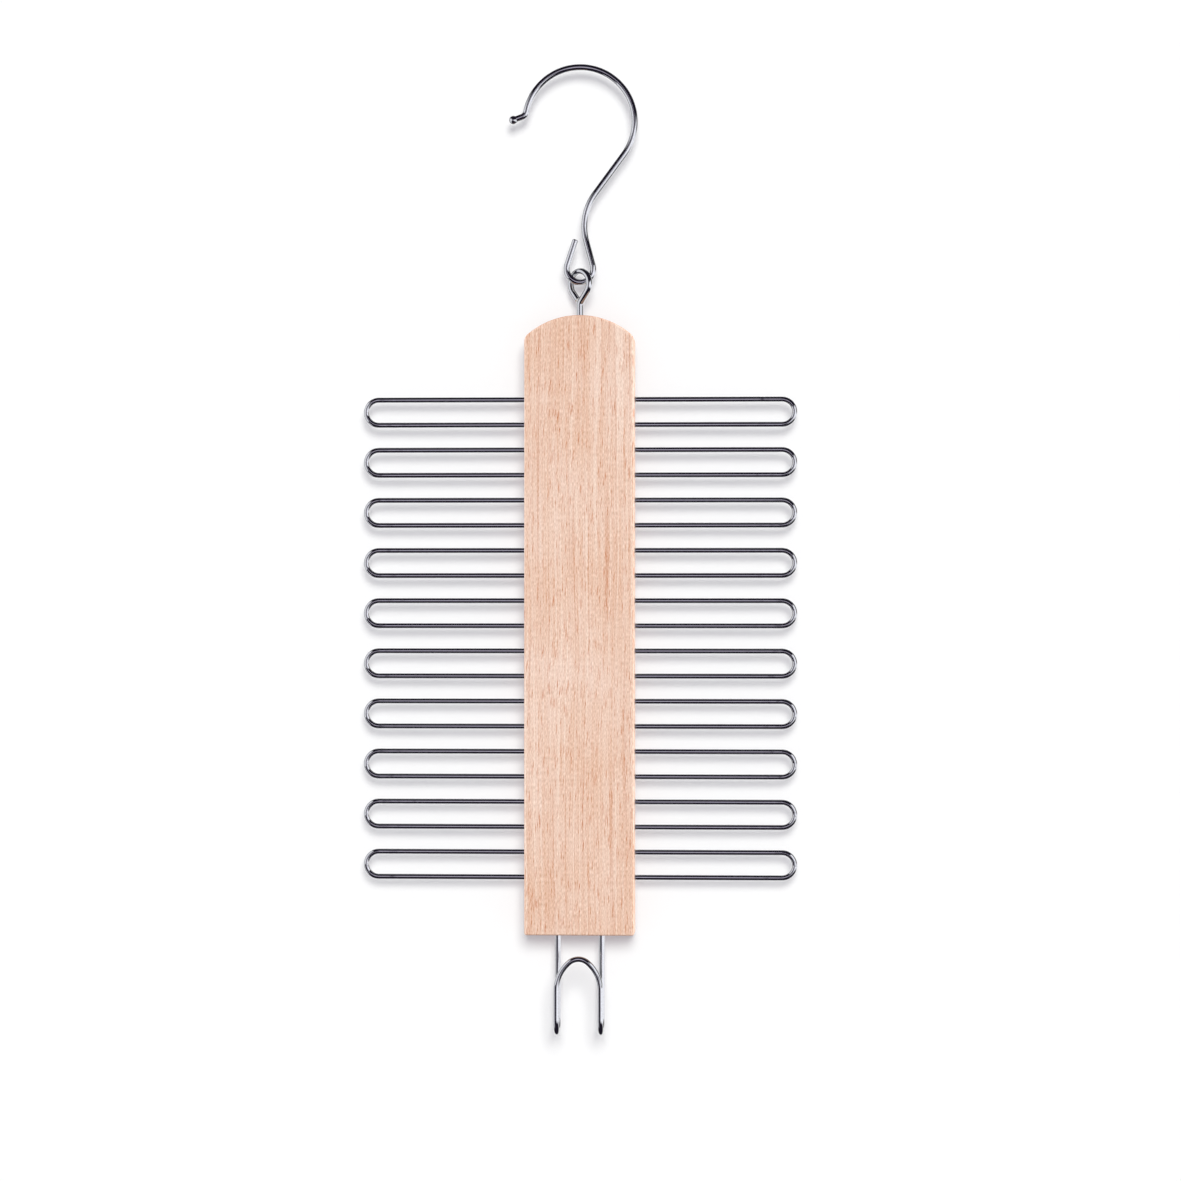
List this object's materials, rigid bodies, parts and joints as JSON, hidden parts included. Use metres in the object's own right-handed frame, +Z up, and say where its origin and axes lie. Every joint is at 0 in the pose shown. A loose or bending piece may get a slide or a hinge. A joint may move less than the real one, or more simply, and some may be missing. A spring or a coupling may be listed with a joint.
{
  "type": "tie and belt hanger",
  "caption": "Hanging wooden board with chrome wire loops on both sides for ties, a wire belt hook below and a ball-tipped wire hook linked to an eye on top.",
  "frame": {"origin": "middle of the hook's rod bend, on the axis of the rod that the hanger hangs from", "axes": "+Z up, +X to the right as seen from the front, +Y to the back along the rod; the belt hook's arch is at the front, -Y"},
  "size_m": [0.1702, 0.0181, 0.3803],
  "materials": {
    "beech": "fine sanded, clear matt",
    "chrome_wire": "bright plated"
  },
  "bodies": {
    "hook": {"top_hook": "chrome_wire"},
    "hanger": {"board": "beech", "screw_eye": "chrome_wire", "belt_hook": "chrome_wire", "tie_arm_left_01": "chrome_wire", "tie_arm_left_02": "chrome_wire", "tie_arm_left_03": "chrome_wire", "tie_arm_left_04": "chrome_wire", "tie_arm_left_05": "chrome_wire", "tie_arm_left_06": "chrome_wire", "tie_arm_left_07": "chrome_wire", "tie_arm_left_08": "chrome_wire", "tie_arm_left_09": "chrome_wire", "tie_arm_left_10": "chrome_wire", "tie_arm_right_01": "chrome_wire", "tie_arm_right_02": "chrome_wire", "tie_arm_right_03": "chrome_wire", "tie_arm_right_04": "chrome_wire", "tie_arm_right_05": "chrome_wire", "tie_arm_right_06": "chrome_wire", "tie_arm_right_07": "chrome_wire", "tie_arm_right_08": "chrome_wire", "tie_arm_right_09": "chrome_wire", "tie_arm_right_10": "chrome_wire"}
  },
  "joints": [
    {"name": "link_swing", "type": "hinge", "parent": "hook", "child": "hanger", "pos_m": [0, 0, -0.0576], "axis": [0, 1, 0], "range_deg": [-90, 90]}
  ]
}
